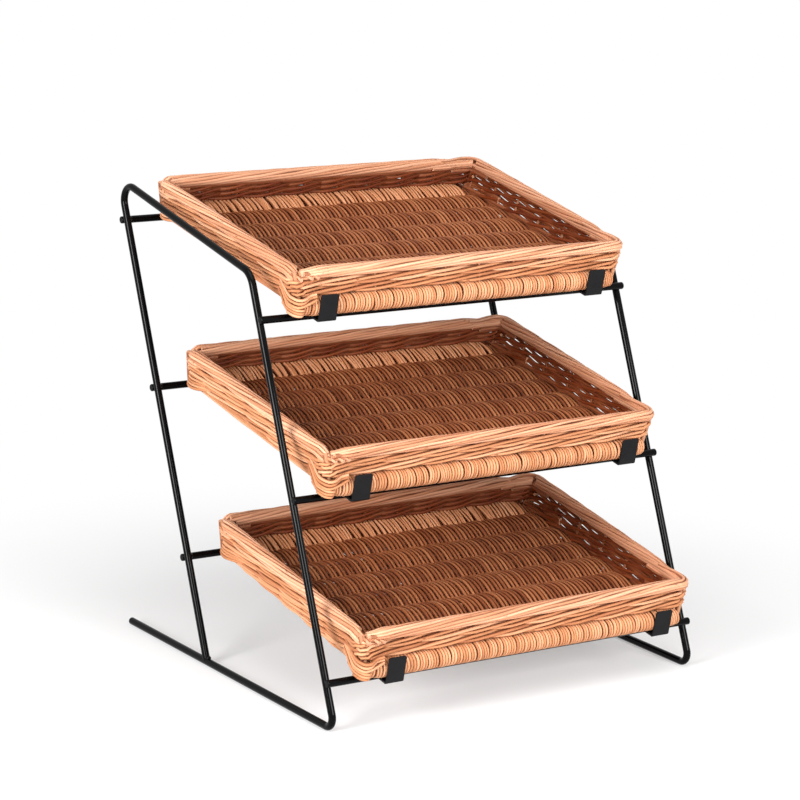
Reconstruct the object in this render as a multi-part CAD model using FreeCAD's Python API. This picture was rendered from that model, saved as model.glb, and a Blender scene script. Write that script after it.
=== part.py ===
import FreeCAD, Part
import math
import os

# Three-tier counter rack for bread: two bent-rod side frames, six cross bars, six clips and
# three willow baskets. X runs to the right, Y to the rear, Z up. Sizes in mm, angles in degrees.
# The origin is in the middle of the footprint, on the counter.

# ---- baskets: overall sizes ----
basket_width = 432.0       # over the rim
basket_depth = 326.2       # over the front and rear rolls of the base
basket_height = 52.0       # underside of the base to top of the rim

# ---- steel frame ----
rod_d = 8.0                # round rod of the side frames and cross bars
post_lean = 22.8           # posts lean back from vertical
tier_tilt = 10.9           # line through a tier's two bars, front lower
tier_pitch = 173.5         # height from one tier to the next
tiers = ("lower", "middle", "upper")
first_bar_height = 50.5    # axis of the lowest front bar above the counter
post_top_rise = 44.3       # posts' upper corners above the axes of the top bars
foot_tail = 168.0          # foot behind the rear post
side_gap = 10.0            # rim of a basket to the side frame's rod
front_overhang = 20.7      # basket in front of the front bar's axis
rear_overhang = 4.1        # basket behind the rear bar's axis
foot_bend_r = 10.5         # bend radii of the rod's centre line
top_front_bend_r = 24.0
top_rear_bend_r = 16.0
weld_bite = 0.6            # how far a bar is pressed into a post when welded
rod_end_round = 2.0        # rounded cut ends
seat_gap = 0.3             # basket to bars and clips
side_shift = 5.5           # clips and baskets sit this far right of the middle

# ---- clips ----
clip_width = 21.0
clip_thick = 2.0
clip_height = 30.0
clip_bend_r = 3.0          # outside of the bend
clip_corner_r = 2.0
clip_inset = 44.0          # middle of a clip inside the rim's side
clip_drop = 0.85           # top of the leg below the top of the bar

# ---- willow ----
base_rod_d = 4.8           # rods of the base weave
end_stick_d = 11.4         # doubled sticks along the front and rear edge
mid_stick_d = 9.0          # sticks between them
mid_sticks = 6
roll_inset = 13.0          # end of a roll inside the rim's side
base_inset = 24.0          # edge of the flat weave inside the rim's side
base_thick = 9.0           # weave between two sticks
stick_end_inset = 17.0     # cut ends of the middle sticks inside the rim's side
wall_thick = 8.0
wall_inset_top = 4.0       # wall inside the rim, under the rim
wall_inset_side = 15.0     # the same at the bottom of the two side walls
wall_inset_front = 7.7     # bottom of the front wall behind the front of the roll
wall_inset_rear = 18.0     # bottom of the rear wall in front of the back of the roll
side_wall_rise = 14.0      # bottom of the side walls above the underside
corner_rise = 8.5          # the same at the corners
corner_run = 34.0          # length of the lower corner weave along a side wall
wall_corner_r = 23.0
rim_set_front = 7.7        # rim behind the front of the roll
rim_set_rear = 17.5        # rim in front of the back of the rear roll
rim_width = 15.0
rim_height = 12.0
rim_round_top = 4.5
rim_round_low = 2.5
rim_corner_r = 16.0
corner_post_d = 7.0
stake_d = 4.6
stake_pitch = 42.0         # wished spacing of the side stakes
stake_top_cover = 3.5      # willow left over the stakes' tops

# ---- worked out from the sizes above ----
rod_r = rod_d / 2
lean = math.radians(post_lean)
tilt = math.radians(tier_tilt)
bar_offset = rod_d - weld_bite
bar_gap = basket_depth - front_overhang - rear_overhang
frame_x = basket_width / 2 + side_gap + rod_r
roll_r = end_stick_d / 2 + base_rod_d
bump_r = mid_stick_d / 2 + base_rod_d
rim_depth = basket_depth - rim_set_front - rim_set_rear
roll_half = basket_width / 2 - roll_inset
clip_x = basket_width / 2 - clip_inset

# A basket sits on its flat underside in front and on its round rear roll behind, so it
# tilts a little less than the line through the two bars.
seat = roll_r + rod_r + seat_gap
rear_reach = max(0.0, roll_r - rear_overhang)
seat_drop = seat - math.sqrt(seat ** 2 - rear_reach ** 2)
basket_tilt = tier_tilt - math.degrees(math.asin(seat_drop / bar_gap))

os.makedirs("parts", exist_ok=True)
nodes = {}


def vec(x, y, z):
    return FreeCAD.Vector(x, y, z)


def along_x(y, z, radius, x0, x1):
    """Round bar along X."""
    return Part.makeCylinder(radius, x1 - x0, vec(x0, y, z), vec(1, 0, 0))


def round_ends(bar, radius):
    """Rounded edges on both flat ends of a bar."""
    rims = [e for e in bar.Edges if isinstance(e.Curve, Part.Circle)]
    return bar.makeFillet(radius, rims)


def round_end(bar, y, radius):
    """Rounded edge on the end of a bar at one Y."""
    rims = [e for e in bar.Edges if isinstance(e.Curve, Part.Circle) and abs(e.CenterOfMass.y - y) < 0.01]
    return bar.makeFillet(radius, rims)


def rod_along(points, radii, diameter):
    """Rod bent at its inner points. All points lie in one plane across X."""
    edges = []
    start = points[0]
    for before, corner, after, bend in zip(points, points[1:], points[2:], radii):
        to_before = (before - corner).normalize()
        to_after = (after - corner).normalize()
        half = to_before.getAngle(to_after) / 2
        run = bend / math.tan(half)
        middle = (to_before + to_after).normalize()
        centre = corner + middle * (bend / math.sin(half))
        arc_start = corner + to_before * run
        arc_end = corner + to_after * run
        edges.append(Part.LineSegment(start, arc_start).toShape())
        edges.append(Part.Arc(arc_start, centre - middle * bend, arc_end).toShape())
        start = arc_end
    edges.append(Part.LineSegment(start, points[-1]).toShape())
    path = Part.Wire(edges)
    section = Part.Wire(Part.makeCircle(diameter / 2, points[0], points[1] - points[0]))
    return path.makePipeShell([section], True, False)


# ---- places of bars and posts, seen from the side as (y, z) ----
def step(point, distance, angle):
    """Point at a distance along a direction that rises by an angle towards the rear."""
    return (point[0] + distance * math.cos(angle), point[1] + distance * math.sin(angle))


def front_bar(tier):
    return (tier * tier_pitch * math.tan(lean), first_bar_height + tier * tier_pitch)


def rear_bar(tier):
    return step(front_bar(tier), bar_gap, tilt)


def post_y(through, z):
    """Y of a post's axis at a height, for a post through a given point."""
    return through[0] + (z - through[1]) * math.tan(lean)


front_post = step(front_bar(0), bar_offset, -lean)
rear_post = step(rear_bar(0), -bar_offset, -lean)
top = len(tiers) - 1
top_front_z = front_bar(top)[1] + post_top_rise
top_rear_z = rear_bar(top)[1] + post_top_rise


# ---- side frames ----
def side_frame(x):
    """One rod: foot, front post, top rod, rear post, welded back onto the foot."""
    corners = [
        vec(x, post_y(rear_post, rod_r) + foot_tail, rod_r),
        vec(x, post_y(front_post, rod_r), rod_r),
        vec(x, post_y(front_post, top_front_z), top_front_z),
        vec(x, post_y(rear_post, top_rear_z), top_rear_z),
        vec(x, post_y(rear_post, rod_r), rod_r),
    ]
    split = corners[1] + vec(0, 4 * foot_bend_r, 0)
    foot = Part.makeCylinder(rod_r, corners[0].y - split.y, split, vec(0, 1, 0))
    bent = rod_along([split] + corners[1:], [foot_bend_r, top_front_bend_r, top_rear_bend_r], rod_d)
    return bent.fuse(round_end(foot, corners[0].y, rod_end_round)).removeSplitter()


nodes["side_frame_left"] = side_frame(-frame_x)
nodes["side_frame_right"] = side_frame(frame_x)
frames = nodes["side_frame_left"].fuse(nodes["side_frame_right"])


# ---- cross bars, cut to the outside of the posts ----
def cross_bar(centre):
    bar = along_x(centre[0], centre[1], rod_r, -frame_x - rod_r, frame_x + rod_r)
    return round_ends(bar, rod_end_round / 2).cut(frames)


for tier, name in enumerate(tiers):
    nodes["front_bar_" + name] = cross_bar(front_bar(tier))
    nodes["rear_bar_" + name] = cross_bar(rear_bar(tier))


# ---- clips: flat bar bent to an L, drawn from the side in the tier's own frame ----
def place_on_tier(shape, tier, angle=tier_tilt):
    """Puts a shape drawn about a front bar's axis (X, along the tier, off the tier) in the rack."""
    y, z = front_bar(tier)
    placed = shape.copy()
    placed.Placement = FreeCAD.Placement(vec(0, y, z), FreeCAD.Rotation(vec(1, 0, 0), angle))
    return placed


leg_top = rod_r - clip_drop
leg_bottom = leg_top - clip_thick
plate_back = -front_overhang - seat_gap
plate_front = plate_back - clip_thick


def clip(x):
    left = x - clip_width / 2
    leg = Part.makeBox(clip_width, -plate_front, clip_thick, vec(left, plate_front, leg_bottom))
    plate = Part.makeBox(clip_width, clip_thick, clip_height, vec(left, plate_front, leg_bottom))
    corner = Part.makeBox(clip_width, clip_bend_r, clip_bend_r, vec(left, plate_front, leg_bottom))
    bend_y = plate_front + clip_bend_r
    bend_z = leg_bottom + clip_bend_r
    round_bar = along_x(bend_y, bend_z, clip_bend_r, left, left + clip_width)
    inside = Part.makeBox(clip_width, -plate_back, clip_height, vec(left, plate_back, leg_top))
    shape = leg.fuse(plate).fuse(corner).cut(corner.cut(round_bar)).removeSplitter()
    top_edges = [e for e in shape.Edges if e.BoundBox.ZMin > leg_bottom + clip_height - 0.01
                 and e.BoundBox.XLength < 0.01]
    shape = shape.makeFillet(clip_corner_r, top_edges)
    return shape.cut(inside)


clips = {}
for tier, name in enumerate(tiers):
    for side, x in (("left", side_shift - clip_x), ("right", side_shift + clip_x)):
        clips[name, side] = place_on_tier(clip(x), tier).cut(nodes["front_bar_" + name])
        nodes["clip_" + name + "_" + side] = clips[name, side]


# ---- weld beads ----
bead_r = rod_d * 0.4
bar_beads = []
for tier, name in enumerate(tiers):
    spots = ((front_bar(tier), bar_offset / 2 + 1.0, nodes["front_bar_" + name]),
             (rear_bar(tier), -bar_offset / 2 - 1.0, nodes["rear_bar_" + name]))
    for centre, towards_post, bar in spots:
        y, z = step(centre, towards_post, -lean)
        for x in (-frame_x + rod_r + 0.3, frame_x - rod_r - 0.3):
            bar_beads.append(Part.makeSphere(bead_r, vec(x, y, z)).cut(bar).cut(frames))
nodes["bar_welds"] = Part.makeCompound(bar_beads)

foot_beads = []
for x in (-frame_x, frame_x):
    for side in (-1, 1):
        corner = vec(x, post_y(rear_post, rod_d) + side * rod_r / math.cos(lean), rod_d)
        foot_beads.append(Part.makeSphere(bead_r, corner).cut(frames))
nodes["foot_welds"] = Part.makeCompound(foot_beads)

clip_bead_r = 1.8
clip_beads = []
for tier, name in enumerate(tiers):
    for side, x in (("left", side_shift - clip_x), ("right", side_shift + clip_x)):
        bead = along_x(-rod_r - 0.4, leg_bottom, clip_bead_r, x - clip_width * 0.3, x + clip_width * 0.3)
        bead = place_on_tier(bead, tier).cut(nodes["front_bar_" + name]).cut(clips[name, side])
        clip_beads.append(max(bead.Solids, key=lambda solid: solid.Volume))
nodes["clip_welds"] = Part.makeCompound(clip_beads)


# ---- one basket, drawn flat: X across, Y from the front of the roll, Z from the underside ----
def rounded_outline(half_x, y0, y1, z, radius):
    """Closed wire: rectangle with rounded corners."""
    face = Part.makePlane(2 * half_x, y1 - y0, vec(-half_x, y0, z))
    block = face.extrude(vec(0, 0, 1))
    upright = [e for e in block.Edges if e.BoundBox.ZLength > 0.5]
    rounded = block.makeFillet(radius, upright)
    low = min(rounded.Faces, key=lambda f: f.CenterOfMass.z)
    return low.OuterWire


def tray(bottom, top_wire):
    return Part.makeLoft([bottom, top_wire], True, True)


mid_z = roll_r
front_pair = (roll_r, roll_r + end_stick_d + 0.3)
rear_pair = (basket_depth - front_pair[0], basket_depth - front_pair[1])
mid_pitch = (rear_pair[1] - front_pair[1]) / (mid_sticks + 1)
mid_places = [front_pair[1] + mid_pitch * (k + 1) for k in range(mid_sticks)]

base_half = basket_width / 2 - base_inset
stick_half = basket_width / 2 - stick_end_inset


def base_sticks():
    ends = [along_x(y, mid_z, end_stick_d / 2, -roll_half, roll_half) for y in front_pair + rear_pair]
    middle = [along_x(y, mid_z, mid_stick_d / 2, -stick_half, stick_half) for y in mid_places]
    return ends + middle


def roll(pair):
    """Weave wrapped round a pair of sticks: two half rounds with a flat top and underside."""
    near, far = min(pair), max(pair)
    core = Part.makeBox(2 * roll_half, far - near, 2 * roll_r, vec(-roll_half, near, 0))
    for y in (near, far):
        core = core.fuse(along_x(y, mid_z, roll_r, -roll_half, roll_half))
    return core


def base_weave(sticks):
    slab = Part.makeBox(2 * base_half, rear_pair[1] - front_pair[1], base_thick,
                        vec(-base_half, front_pair[1], mid_z - base_thick / 2))
    for y in mid_places:
        slab = slab.fuse(along_x(y, mid_z, bump_r, -base_half, base_half))
    weave = slab.fuse(roll(front_pair)).fuse(roll(rear_pair))
    return weave.cut(Part.makeCompound(sticks)).removeSplitter()


rim_bottom = basket_height - rim_height
rim_y0 = rim_set_front
rim_y1 = rim_set_front + rim_depth
wall_top_half = basket_width / 2 - wall_inset_top
wall_low_half = basket_width / 2 - wall_inset_side
wall_low = (wall_inset_front, basket_depth - wall_inset_rear)
wall_high = (rim_y0 + wall_inset_top, rim_y1 - wall_inset_top)


def wall_line(inset, height):
    """Half width and the two Y ends of the wall at a height, moved inwards by an inset."""
    share = (height - corner_rise) / (rim_bottom - corner_rise)
    half = wall_low_half + (wall_top_half - wall_low_half) * share - inset
    y0 = wall_low[0] + (wall_high[0] - wall_low[0]) * share + inset
    y1 = wall_low[1] + (wall_high[1] - wall_low[1]) * share - inset
    return half, y0, y1


def wall_shell(inset):
    low, high = wall_line(inset, corner_rise), wall_line(inset, rim_bottom)
    radius = wall_corner_r - inset
    return tray(rounded_outline(*low, corner_rise, radius), rounded_outline(*high, rim_bottom, radius))


def wall_point(wall, along, z):
    """Point in the middle of a wall's thickness; along is X in front and behind, Y at the sides."""
    half, y0, y1 = wall_line(wall_thick / 2, z)
    places = {"front": (along, y0), "rear": (along, y1), "left": (-half, along), "right": (half, along)}
    return vec(*places[wall], z)


def corner_point(side, end, z):
    """Point in the middle of a rounded corner's thickness."""
    half, y0, y1 = wall_line(wall_thick / 2, z)
    reach = (wall_corner_r - wall_thick / 2) * (1 - math.sqrt(0.5))
    return vec(side * (half - reach), y0 + reach if end == "front" else y1 - reach, z)


def rod_between(low, high, diameter):
    return Part.makeCylinder(diameter / 2, (high - low).Length, low, high - low)


def spread(length, pitch):
    """Evenly spaced places about zero, as near to the wished spacing as fits."""
    gaps = max(1, round(length / pitch))
    return [length * (k / gaps - 0.5) for k in range(gaps + 1)]


roll_top = 2 * roll_r - 2
stake_top = basket_height - stake_top_cover


def side_stakes():
    """Thin rods along all four walls, evenly spaced between the corners."""
    half, y0, y1 = wall_line(wall_thick / 2, rim_bottom)
    places = []
    for x in spread(2 * (half - wall_corner_r), stake_pitch):
        places += [("front", x, roll_top), ("rear", x, roll_top)]
    for y in spread(y1 - y0 - 2 * wall_corner_r, stake_pitch):
        middle = (y0 + y1) / 2
        places += [("left", middle + y, side_wall_rise + 2), ("right", middle + y, side_wall_rise + 2)]
    return [rod_between(wall_point(wall, along, z), wall_point(wall, along, stake_top), stake_d)
            for wall, along, z in places]


def corner_posts():
    """Thicker rods in the four rounded corners, standing on the ends of the rolls."""
    return [rod_between(corner_point(side, end, roll_top), corner_point(side, end, stake_top), corner_post_d)
            for side in (-1, 1) for end in ("front", "rear")]


def siding(base, uprights):
    ring = wall_shell(0).cut(wall_shell(wall_thick))
    side_run = basket_depth - 2 * corner_run
    for x in (-basket_width / 2, basket_width / 4):
        ring = ring.cut(Part.makeBox(basket_width / 4, side_run, side_wall_rise, vec(x, corner_run, 0)))
    ring = ring.cut(base).cut(Part.makeCompound(uprights))
    return max(ring.Solids, key=lambda solid: solid.Volume)


def border(uprights):
    outer = rounded_outline(basket_width / 2, rim_y0, rim_y1, rim_bottom, rim_corner_r)
    hole = rounded_outline(basket_width / 2 - rim_width, rim_y0 + rim_width, rim_y1 - rim_width,
                           rim_bottom, rim_corner_r - rim_width / 2)
    ring = Part.Face([outer, hole]).extrude(vec(0, 0, rim_height))
    top_edges = [e for e in ring.Edges if e.BoundBox.ZMin > basket_height - 0.01]
    ring = ring.makeFillet(rim_round_top, top_edges)
    low_edges = [e for e in ring.Edges if e.BoundBox.ZMax < rim_bottom + 0.01]
    return ring.makeFillet(rim_round_low, low_edges).cut(Part.makeCompound(uprights))


sticks = base_sticks()
weave = base_weave(sticks)
base = Part.makeCompound([weave] + sticks)
stakes = [stake.cut(base) for stake in side_stakes()]
posts = [post.cut(base) for post in corner_posts()]
uprights = stakes + posts
basket = {
    "sticks": Part.makeCompound(sticks),
    "base_weave": weave,
    "side_stakes": Part.makeCompound(stakes),
    "corner_posts": Part.makeCompound(posts),
    "siding": siding(base, uprights),
    "border": border(uprights),
}
for tier, name in enumerate(tiers):
    for piece, shape in basket.items():
        lifted = shape.copy()
        lifted.translate(vec(side_shift, -front_overhang, rod_r + seat_gap))
        holder = Part.makeCompound([lifted])
        placed = place_on_tier(holder, tier, basket_tilt)
        nodes["basket_" + name + "_" + piece] = placed

# ---- origin to the middle of the footprint, and one file for each piece ----
box = Part.makeCompound(list(nodes.values())).optimalBoundingBox(False, False)
shift = vec(0, -(box.YMin + box.YMax) / 2, 0)
for name, shape in nodes.items():
    shape.translate(shift)
    solids = shape.Solids
    out = solids[0] if len(solids) == 1 else Part.makeCompound(solids)
    out.exportStep("parts/" + name + ".step")
    print(name, len(solids), "solids", round(sum(s.Volume for s in solids)), "mm3", shape.isValid())
print("rack", [round(v, 1) for v in (box.XLength, box.YLength, box.ZLength)], "z from", round(box.ZMin, 3),
      "shift", round(shift.y, 3), "basket tilt", round(basket_tilt, 3))
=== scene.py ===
# %% [markdown]
# # Counter rack for bread: steel frame and three willow baskets
# The steel frame comes ready made from the CAD model and only needs its paint. The three
# baskets are woven here rod by rod, because a basket is read by its strands: a flat surface
# with a picture of a weave on it looks wrong as soon as the view comes near.
# %% Load the frame
import math
from collections import namedtuple

import bpy
import numpy as np
from mathutils import Matrix, Vector


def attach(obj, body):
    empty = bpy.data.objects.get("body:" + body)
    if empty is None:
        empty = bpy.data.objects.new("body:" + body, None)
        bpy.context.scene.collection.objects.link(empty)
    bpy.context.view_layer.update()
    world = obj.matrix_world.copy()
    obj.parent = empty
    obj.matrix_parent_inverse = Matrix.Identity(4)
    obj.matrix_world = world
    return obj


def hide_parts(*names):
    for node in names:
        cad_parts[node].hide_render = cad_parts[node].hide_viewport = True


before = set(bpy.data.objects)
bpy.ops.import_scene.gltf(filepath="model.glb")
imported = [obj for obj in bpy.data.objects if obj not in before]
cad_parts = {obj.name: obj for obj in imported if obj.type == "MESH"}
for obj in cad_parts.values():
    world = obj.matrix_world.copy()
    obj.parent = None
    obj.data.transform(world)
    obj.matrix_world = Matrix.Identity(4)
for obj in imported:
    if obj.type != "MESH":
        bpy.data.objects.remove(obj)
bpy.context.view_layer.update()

mm = 0.001
quarter = math.pi / 2
full_turn = 2 * math.pi
tiers = ("lower", "middle", "upper")

# %% [markdown]
# ## Where a basket stands
# Each basket is drawn flat, as it is on the maker's bench: x across, s from the front edge to
# the rear, h up from the underside, all in millimetres. Then it is tipped back and set down on
# its two bars. Drawing it flat keeps every number simple, and one basket serves three tiers.
# Handmade baskets never stand quite alike, so each is shifted and raked by a millimetre or two.
# %% Bench to rack
front_bar_y, front_bar_z = -208.73, 50.5  # middle line of the lowest front bar
side_shift = 5.5  # the baskets stand a little to the right of the rack's middle
front_overhang = 20.7  # from that bar's middle line to the basket's front edge
seat_height = 4.3  # half a bar and a small gap, up to the basket's underside
basket_tilt = math.radians(10.623)
post_lean = math.radians(22.8)
tier_pitch = 173.5
tier_shift = (1.2, -1.9, 2.2)  # each basket's own shift to the right
tier_rake = (1.2, -2.0, 0.8)  # how far each basket's rim leans to the rear
rake_start, rake_span = 21, 30  # height where that lean starts, and over which it grows


def on_rack(points, tier):
    """Bench points in millimetres to rack points in metres, with the tier's own shift and rake."""
    x, s, h = np.asarray(points, float).T
    x = x + tier_shift[tier]
    s = s - front_overhang + tier_rake[tier] * np.clip((h - rake_start) / rake_span, 0, 1)
    h = h + seat_height
    rise = tier * tier_pitch
    y = (front_bar_y + rise * math.tan(post_lean)
         + s * math.cos(basket_tilt) - h * math.sin(basket_tilt))
    z = front_bar_z + rise + s * math.sin(basket_tilt) + h * math.cos(basket_tilt)
    return np.stack([x + side_shift, y, z], 1) * mm


print("front of the upper basket, m", on_rack([[0, 0, 0]], 2).round(4))

# %% [markdown]
# ## A willow rod
# A rod is a long tube that follows a line of points. It is never quite straight or quite
# even, so each one gets its own thickness and wander. Rings of eight points are placed
# across the line and joined up; the two ends are closed flat, as cut by a knife.
# %% Wander of a rod
seed = 7
rng = np.random.default_rng(seed)


def sway(t, size, wave):
    """Slow random wander along a rod: a long wave, and a weaker one 2.3 times as quick."""
    first, second = rng.uniform(0, full_turn, 2)
    slow = 0.65 * np.sin(full_turn * t / wave + first)
    quick = 0.35 * np.sin(2.3 * full_turn * t / wave + second)
    return size * (slow + quick)


print("random numbers start from seed", seed)

# %% Rings round a line
ring_points = 8
ring_angles = np.arange(ring_points) * full_turn / ring_points


def unit(v):
    return v / np.maximum(np.linalg.norm(v, axis=1, keepdims=True), 1e-9)


def rings(path, radius, side):
    """Points round a path: one ring for each of its points, the first point on the given side."""
    along = unit(np.gradient(path, axis=0))
    side = np.broadcast_to(np.asarray(side, float), path.shape)
    out = unit(side - (side * along).sum(1, keepdims=True) * along)
    up = np.cross(along, out)
    cos, sin = np.cos(ring_angles)[None, :, None], np.sin(ring_angles)[None, :, None]
    return path[:, None] + (out[:, None] * cos + up[:, None] * sin) * radius[:, None, None]


def step_lengths(path):
    return np.linalg.norm(np.diff(path, axis=0), axis=1)


def run_along(path):
    """Distance from the start of a path to each of its points."""
    return np.concatenate([[0], np.cumsum(step_lengths(path))])


print("points in a ring", ring_points)

# %% [markdown]
# ## How dark a rod is
# Shade is painted on where rods touch, where a rod dips behind the stakes, and on the inside of a
# basket. That is worked out from the shape and noted on the points, so a single finish can serve
# bright and dark places.
# %% Painted shade in creases and on the inside
# painted shade on the two sides of a rod that face its neighbours, up to this share
crease_shade = 0.85
side_start, front_end, rear_start, wall_fade = 180, 40, 285, 20  # walls begin here, on the bench


def inside_of(path):
    """Direction to the inside of the basket from points near its walls; zero over the floor."""
    x, s = path[:, 0], path[:, 1]
    by_side = np.clip((np.abs(x) - side_start) / wall_fade, 0, 1)
    by_front = np.clip((front_end - s) / wall_fade, 0, 1)
    by_rear = np.clip((s - rear_start) / wall_fade, 0, 1)
    inward = np.stack([-np.sign(x) * by_side, by_front - by_rear, 0 * x], 1)
    return inward / np.maximum(np.linalg.norm(inward, axis=1, keepdims=True), 1.0)


def shade_share(rod, ring):
    """Share of painted shade on the points of a rod's rings; its two numbers are all over, and
    inside.
    """
    all_over, inside = rod.stain
    spokes = (ring - rod.path[:, None]) / rod.radius[:, None, None]
    facing = (spokes * inside_of(rod.path)[:, None]).sum(2)
    # painted shade: darkest on the sides facing the neighbouring rods and on the side facing the
    # inside
    crease = crease_shade * np.abs(np.cos(ring_angles)) ** 4
    dark = np.maximum(crease, inside * np.clip(facing + 0.3, 0, 1))
    # painted shade laid over the whole rod, or where it dips behind the stakes
    shaded_all_over = np.broadcast_to(all_over, len(rod.path))[:, None]
    return shaded_all_over + (1 - shaded_all_over) * dark


print("inwards from the left wall", inside_of(np.array([[-205.0, 160.0, 30.0]]))[0])

# %% [markdown]
# ## A bundle of rods becomes one piece
# A basket holds hundreds of rods. Joining each job's rods into one mesh keeps the scene
# light. Four things are noted on the points for the finish: where they are along and round
# their rod (grain), which tone their rod has (tint), whether they are on a cut end (cut), and
# how much shade is painted on them (painted shade). Each rod also gets its own strip of the
# picture that the finish can be saved to.
# %% Points and faces of one rod
Rod = namedtuple("Rod", "path radius side tint stain")
grain_jump = (7.31, 3.17)  # each rod takes its grain from another place in the noise


def with_ends(values):
    """The rows of the rings once more for the two cut ends, so that the edge there stays sharp."""
    return np.concatenate([values, values[:1], values[-1:]])


def rod_points(rod, number):
    """Points of a rod, ring by ring and then its two ends, and their grain, tint, cut and painted
    shade.
    """
    ring = rings(rod.path, rod.radius, rod.side)
    run = np.broadcast_to(run_along(rod.path)[:, None], ring.shape[:2])
    round_y = rod.radius[:, None] * np.cos(ring_angles) + number * grain_jump[0]
    round_z = rod.radius[:, None] * np.sin(ring_angles) + number * grain_jump[1]
    grain = with_ends(np.stack([run, round_y, round_z], 2))
    cut = np.zeros(grain.shape[:2])
    cut[-2:] = 1
    stain = with_ends(shade_share(rod, ring)) * (1 - cut)
    tint = np.full(cut.size, rod.tint)
    return with_ends(ring).reshape(-1, 3), grain.reshape(-1, 3), tint, cut.ravel(), stain.ravel()


def rod_grid(rod):
    return np.meshgrid(np.arange(len(rod.path) - 1), np.arange(ring_points), indexing="ij")


def rod_faces(rod):
    """Point numbers of a rod's faces in a row, and how many of them each face takes."""
    i, j = rod_grid(rod)
    here, next_ring, k = i * ring_points, (i + 1) * ring_points, (j + 1) % ring_points
    quads = np.stack([here + j, here + k, next_ring + k, next_ring + j], 2)
    first_cut = len(rod.path) * ring_points + np.arange(ring_points)
    corners = np.concatenate([quads.ravel(), first_cut[::-1], first_cut + ring_points])
    return corners, np.concatenate([np.full(i.size, 4), [ring_points] * 2])


print("grain of neighbouring rods lies apart by", grain_jump)

# %% Strips of the picture
strip_edge, strip_width = 0.05, 0.9  # of a row: bare edge, and what the rod's skin takes
disc_size = 0.4


def strip_places(rods):
    """Start and row of each rod's strip, the number of rows, and the length of a row."""
    lengths = [step_lengths(rod.path).sum() + 6 * rod.radius.max() for rod in rods]
    girth = np.mean([full_turn * rod.radius.mean() for rod in rods]) * 1.6
    row_length = max(max(lengths), math.sqrt(sum(lengths) * girth))
    places, row, used = [], 0, 0.0
    for length in lengths:
        if used + length > row_length:
            row, used = row + 1, 0.0
        places.append((used, row))
        used += length
    return places, row + 1, row_length


def strip_corners(rod, start, row, rows, row_length):
    """Where the corners of a rod's faces lie on the picture: skin first, then the two cut ends."""
    run, (i, j) = run_along(rod.path), rod_grid(rod)
    low = (row + strip_edge + strip_width * j / ring_points) / rows
    high = (row + strip_edge + strip_width * (j + 1) / ring_points) / rows
    left, right = (start + run[i]) / row_length, (start + run[i + 1]) / row_length
    parts = [np.stack([left, low, left, high, right, high, right, low], 2).reshape(-1, 2)]
    for end, angles in ((0, ring_angles[::-1]), (1, ring_angles)):
        middle = start + run[-1] + rod.radius[0] * (1.5 + 2.5 * end)
        parts.append(np.stack([(middle + rod.radius[0] * np.cos(angles)) / row_length,
                               (row + 0.5 + disc_size * np.sin(angles)) / rows], 1))
    return np.concatenate(parts)


print("skin takes", strip_width, "of a strip's height")


# %% Bundle
class Bundle:
    """Rods of one job, which become one piece."""

    def __init__(self):
        self.rods = []

    def lay(self, path, radius, side=(0, 0, 1), tint=None, stain=(0.0, 0.0)):
        """Adds one rod along a path on the bench; side points to the rod that lies next to it, and
        the last two numbers give its painted shade, all over and on its inner side.
        """
        path = np.asarray(path, float)
        tint = rng.uniform() if tint is None else tint
        radius = np.broadcast_to(np.asarray(radius, float), len(path))
        self.rods.append(Rod(path, radius, side, tint, stain))

    def make(self, name, tier, finish):
        """Builds the mesh of all rods, set down on its tier."""
        places, rows, row_length = strip_places(self.rods)
        made, total = [], 0
        for number, (rod, (start, row)) in enumerate(zip(self.rods, places)):
            corners, sizes = rod_faces(rod)
            strip = strip_corners(rod, start, row, rows, row_length)
            made.append((corners + total, sizes, strip, *rod_points(rod, number)))
            total += len(made[-1][3])
        corners, sizes, strip, points, grain, tint, cut, stain = map(np.concatenate, zip(*made))
        mesh = bpy.data.meshes.new(name)
        mesh.vertices.add(total)
        mesh.vertices.foreach_set("co", on_rack(points, tier).ravel())
        mesh.loops.add(len(corners))
        mesh.loops.foreach_set("vertex_index", corners)
        mesh.polygons.add(len(sizes))
        mesh.polygons.foreach_set("loop_start", np.concatenate([[0], np.cumsum(sizes)[:-1]]))
        mesh.update(calc_edges=True)
        mesh.shade_smooth()
        mesh.uv_layers.new(name="OFBake").data.foreach_set("uv", strip.ravel())
        notes = (("grain", "FLOAT_VECTOR", "vector", grain), ("tint", "FLOAT", "value", tint),
                 ("cut", "FLOAT", "value", cut), ("stain", "FLOAT", "value", stain))
        for label, kind, field, values in notes:
            note = mesh.attributes.new(label, kind, "POINT")
            note.data.foreach_set(field, values.astype(np.float32).ravel())
        mesh.materials.append(finish)
        piece = bpy.data.objects.new(name, mesh)
        bpy.context.scene.collection.objects.link(piece)
        print(f"{name}: {len(self.rods)} rods, {len(sizes)} faces")
        return piece


print("notes on the points: grain, tint, cut, stain")

# %% [markdown]
# ## Finish of the willow
# Buff willow is peeled after boiling, which turns it a light red brown. Along a rod the tone
# drifts, fine fibres run lengthwise, a darker speck marks each bud, and the skin has a low
# sheen. All of it comes from noise that is stretched along the rod by the grain mark. Five
# shades from dark to light keep neighbouring rods apart.
# %% Node helpers
def new_material(name):
    material = bpy.data.materials.new(name)
    material.use_nodes = True
    tree = material.node_tree
    tree.nodes.clear()
    shader = tree.nodes.new("ShaderNodeBsdfPrincipled")
    output = tree.nodes.new("ShaderNodeOutputMaterial")
    tree.links.new(shader.outputs[0], output.inputs[0])
    return material, tree, shader


def set_or_link(tree, socket, value):
    """Gives a socket a plain value, or links it when the value is another node's output."""
    if isinstance(value, bpy.types.NodeSocket):
        tree.links.new(value, socket)
    elif isinstance(value, tuple):
        socket.default_value = (*value, 1.0)
    else:
        socket.default_value = value


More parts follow.
